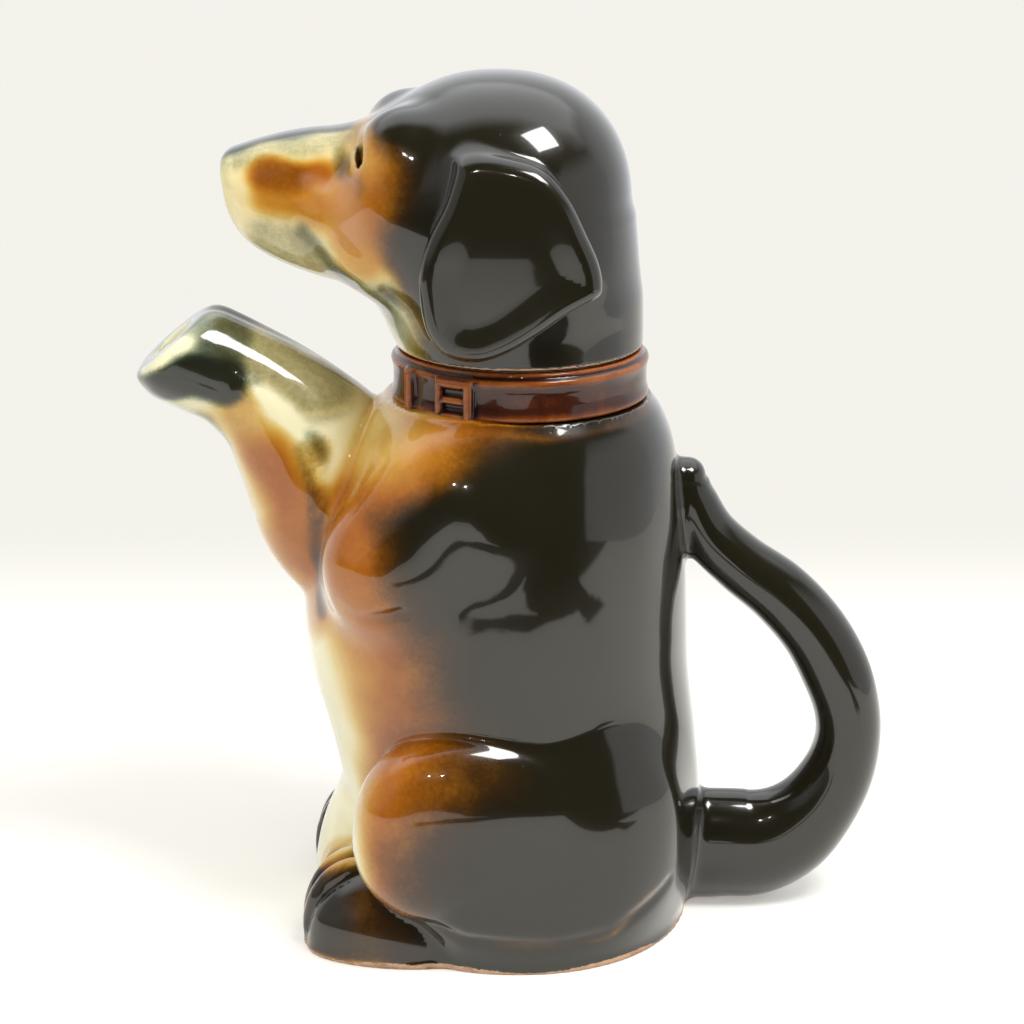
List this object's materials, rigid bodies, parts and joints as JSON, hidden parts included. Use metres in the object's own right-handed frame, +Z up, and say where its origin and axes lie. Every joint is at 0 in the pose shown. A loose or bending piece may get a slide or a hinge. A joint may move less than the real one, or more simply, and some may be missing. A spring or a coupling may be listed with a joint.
{
  "type": "figural teapot",
  "caption": "Glazed pottery teapot shaped as a dachshund that sits up and begs: raised forelegs for a spout, tail for a handle, and a head that lifts off as the lid.",
  "frame": {"origin": "on the table, under the middle of the teapot's bounding box", "axes": "+Z up, the dog faces -X with the spout, the tail handle is at +X, and the buckle of the collar is towards -Y"},
  "size_m": [0.1674, 0.0912, 0.1911],
  "materials": {
    "dark_glaze": "glossy near-black glaze shading to olive and brown",
    "tan_glaze": "glossy brown glaze",
    "cream_glaze": "glossy cream and yellow glaze with a dark paw",
    "collar_glaze": "glossy amber to red-brown glaze",
    "bare_clay": "matte unglazed clay"
  },
  "bodies": {
    "pot": {"pot_body": "dark_glaze", "collar": "collar_glaze", "foreleg_spout": "cream_glaze", "tail_handle": "dark_glaze", "left_hind_foot": "tan_glaze", "right_hind_foot": "tan_glaze"},
    "lid": {"head": "dark_glaze", "left_ear": "dark_glaze", "right_ear": "dark_glaze", "lid_flange": "bare_clay"}
  },
  "joints": [
    {"name": "lid_lift", "type": "slide", "parent": "pot", "child": "lid", "axis": [0, 0, 1], "range_m": [0, 0.06]}
  ]
}
